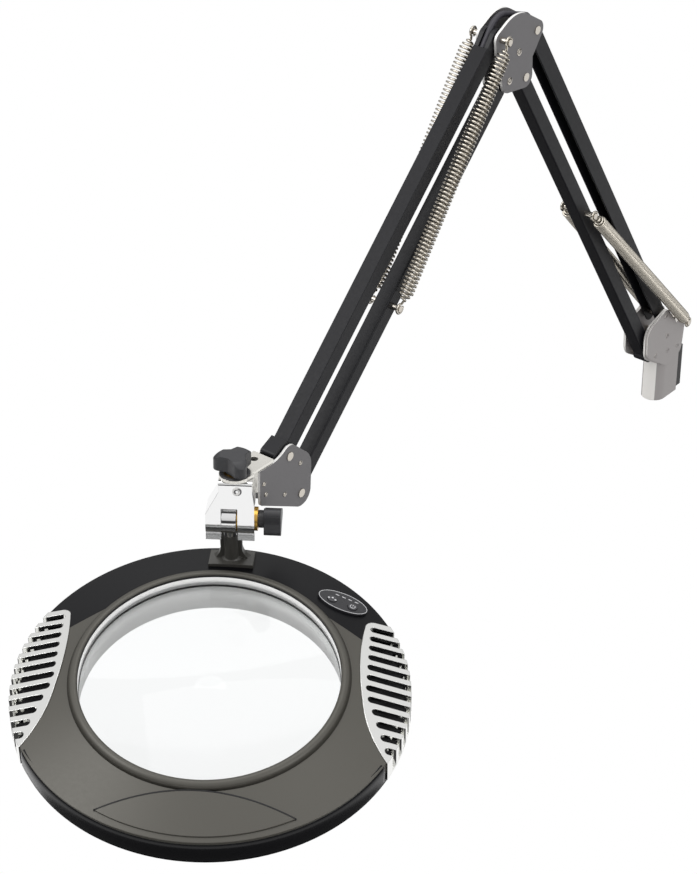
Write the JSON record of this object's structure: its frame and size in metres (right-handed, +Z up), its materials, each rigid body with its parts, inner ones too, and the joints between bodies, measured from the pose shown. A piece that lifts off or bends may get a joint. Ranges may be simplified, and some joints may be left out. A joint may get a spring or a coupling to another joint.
{
  "type": "magnifying lamp",
  "caption": "Spring-balanced magnifying lamp: twin-bar arms on a swivel base sleeve carry a round lens head with ring light, side vents and touch badge.",
  "frame": {"origin": "mouth of the swivel bore, at the foot of the base", "axes": "+Z up along the swivel bore; the arms move in the plane X = 0 and reach toward -Y; +X is the side of the near plates"},
  "size_m": [0.2799, 0.8255, 0.4467],
  "materials": {
    "sleeve_steel": "satin",
    "black_block": "matte",
    "bushing": "satin",
    "pin_steel": "bright",
    "bar_black": "satin black coating",
    "fitting_black": "satin",
    "spring_nickel": "nickel plated",
    "plate_grey": "satin grey",
    "web_bright": "bright",
    "cable_black": "matte",
    "yoke_chrome": "polished",
    "washer_brass": "satin",
    "knob_black": "satin",
    "stem_black": "satin",
    "cover_bronze": "satin metallic bronze-grey",
    "deck_black": "gloss",
    "lens_glass": "polished",
    "board_green": "matte",
    "diffuser_white": "satin",
    "vent_chrome": "polished",
    "badge_black": "gloss",
    "button_black": "satin"
  },
  "bodies": {
    "pin_mount": {"pin_bushing": "bushing"},
    "base": {"base_sleeve": "sleeve_steel", "socket_block": "black_block", "base_ear_near": "sleeve_steel", "base_ear_far": "sleeve_steel", "base_front_pin": "pin_steel", "base_rear_pin": "pin_steel", "base_bolt": "pin_steel", "lower_spring_pin": "pin_steel"},
    "lower_front": {"lower_front_tube": "bar_black", "lower_anchor_pin": "pin_steel", "lower_spring_near": "spring_nickel", "lower_spring_far": "spring_nickel"},
    "lower_spring_end": {"lower_hook_near": "spring_nickel", "lower_hook_far": "spring_nickel"},
    "lower_rear": {"lower_rear_channel": "bar_black"},
    "elbow": {"elbow_plate_near": "plate_grey", "elbow_plate_far": "plate_grey", "elbow_spring_pin": "pin_steel", "elbow_fore_pin": "pin_steel", "elbow_front_pin": "pin_steel", "elbow_rear_pin": "pin_steel", "elbow_bolt": "pin_steel", "elbow_cable": "cable_black"},
    "fore_upper": {"fore_upper_channel": "bar_black", "fore_elbow_fitting": "fitting_black", "fore_head_fitting": "fitting_black"},
    "fore_lower": {"fore_lower_tube": "bar_black", "fore_anchor_pin": "pin_steel", "fore_spring_near": "spring_nickel", "fore_spring_far": "spring_nickel"},
    "fore_spring_end": {"fore_hook_near": "spring_nickel", "fore_hook_far": "spring_nickel"},
    "head_bracket": {"bracket_plate_near": "plate_grey", "bracket_plate_far": "plate_grey", "bracket_web": "web_bright", "bracket_upper_pin": "pin_steel", "bracket_lower_pin": "pin_steel", "swivel_washer": "washer_brass"},
    "yoke": {"yoke": "yoke_chrome", "tilt_bolt": "yoke_chrome", "tilt_washer_inner": "washer_brass", "tilt_washer_outer": "washer_brass"},
    "swivel_knob": {"swivel_knob": "knob_black"},
    "tilt_knob": {"tilt_knob": "knob_black"},
    "head": {"tilt_knuckle": "yoke_chrome", "head_stem": "stem_black", "top_housing": "cover_bronze", "rear_deck": "deck_black", "bottom_housing": "deck_black", "lens": "lens_glass", "led_board": "board_green", "diffuser": "diffuser_white", "driver_board": "board_green", "vent_left": "vent_chrome", "vent_right": "vent_chrome", "thumb_pad": "cover_bronze", "badge": "badge_black"},
    "power_button": {"power_button": "button_black"},
    "dimmer_button": {"dimmer_button": "button_black"}
  },
  "joints": [
    {"name": "base_swivel", "type": "hinge", "parent": "pin_mount", "child": "base", "pos_m": [0, 0, 0], "axis": [0, 0, 1], "continuous": true},
    {"name": "lower_arm", "type": "hinge", "parent": "base", "child": "lower_front", "pos_m": [0, -0.021, 0.052], "axis": [1, 0, 0], "range_deg": [-24, 35], "deforming": ["lower_spring_near", "lower_spring_far", "lower_hook_near", "lower_hook_far"]},
    {"name": "lower_rear_link", "type": "hinge", "parent": "base", "child": "lower_rear", "pos_m": [0, -0.00852, 0.0863], "axis": [1, 0, 0], "range_deg": [-24, 35]},
    {"name": "lower_spring_slide", "type": "slide", "parent": "lower_front", "child": "lower_spring_end", "axis": [0, 0.3584, -0.9336], "range_m": [-0.01803, 0.02606]},
    {"name": "elbow_level", "type": "hinge", "parent": "lower_front", "child": "elbow", "pos_m": [0, -0.23827, 0.38785], "axis": [1, 0, 0], "range_deg": [-35, 24]},
    {"name": "forearm", "type": "hinge", "parent": "elbow", "child": "fore_upper", "pos_m": [0, -0.27337, 0.42955], "axis": [1, 0, 0], "range_deg": [-55, 20], "deforming": ["fore_spring_near", "fore_spring_far", "fore_hook_near", "fore_hook_far", "elbow_cable"]},
    {"name": "fore_lower_link", "type": "hinge", "parent": "elbow", "child": "fore_lower", "pos_m": [0, -0.25985, 0.39169], "axis": [1, 0, 0], "range_deg": [-55, 20]},
    {"name": "fore_spring_slide", "type": "slide", "parent": "fore_lower", "child": "fore_spring_end", "axis": [0, 0.7934, 0.6088], "range_m": [-0.03523, 0.01313]},
    {"name": "head_level", "type": "hinge", "parent": "fore_upper", "child": "head_bracket", "pos_m": [0, -0.52258, 0.18379], "axis": [1, 0, 0], "range_deg": [-20, 55]},
    {"name": "head_swivel", "type": "hinge", "parent": "head_bracket", "child": "yoke", "pos_m": [0, -0.5736, 0.152], "axis": [0, 0, 1], "range_deg": [-60, 0]},
    {"name": "head_tilt", "type": "hinge", "parent": "yoke", "child": "head", "pos_m": [0, -0.5736, 0.152], "axis": [0.8211, 0.5707, 0], "range_deg": [-45, 25]},
    {"name": "swivel_knob_turn", "type": "hinge", "parent": "yoke", "child": "swivel_knob", "pos_m": [0, -0.5736, 0.195], "axis": [0, 0, 1], "continuous": true},
    {"name": "tilt_knob_turn", "type": "hinge", "parent": "yoke", "child": "tilt_knob", "pos_m": [0, -0.5736, 0.152], "axis": [0.8211, 0.5707, 0], "continuous": true},
    {"name": "power_press", "type": "slide", "parent": "head", "child": "power_button", "axis": [-0.2207, -0.1299, -0.9667], "range_m": [0, 0.0005], "stiffness_N_per_m": 800, "springref_m": -0.001},
    {"name": "dimmer_press", "type": "slide", "parent": "head", "child": "dimmer_button", "axis": [-0.2207, -0.1299, -0.9667], "range_m": [0, 0.0005], "stiffness_N_per_m": 800, "springref_m": -0.001}
  ],
  "couplings": [
    {"joint": "lower_rear_link", "follows": "lower_arm", "ratio": 1},
    {"joint": "lower_spring_slide", "follows": "lower_arm", "m_per_rad": 0.041848},
    {"joint": "elbow_level", "follows": "lower_arm", "ratio": -1},
    {"joint": "fore_lower_link", "follows": "forearm", "ratio": 1},
    {"joint": "fore_spring_slide", "follows": "forearm", "m_per_rad": 0.03618},
    {"joint": "head_level", "follows": "forearm", "ratio": -1}
  ]
}
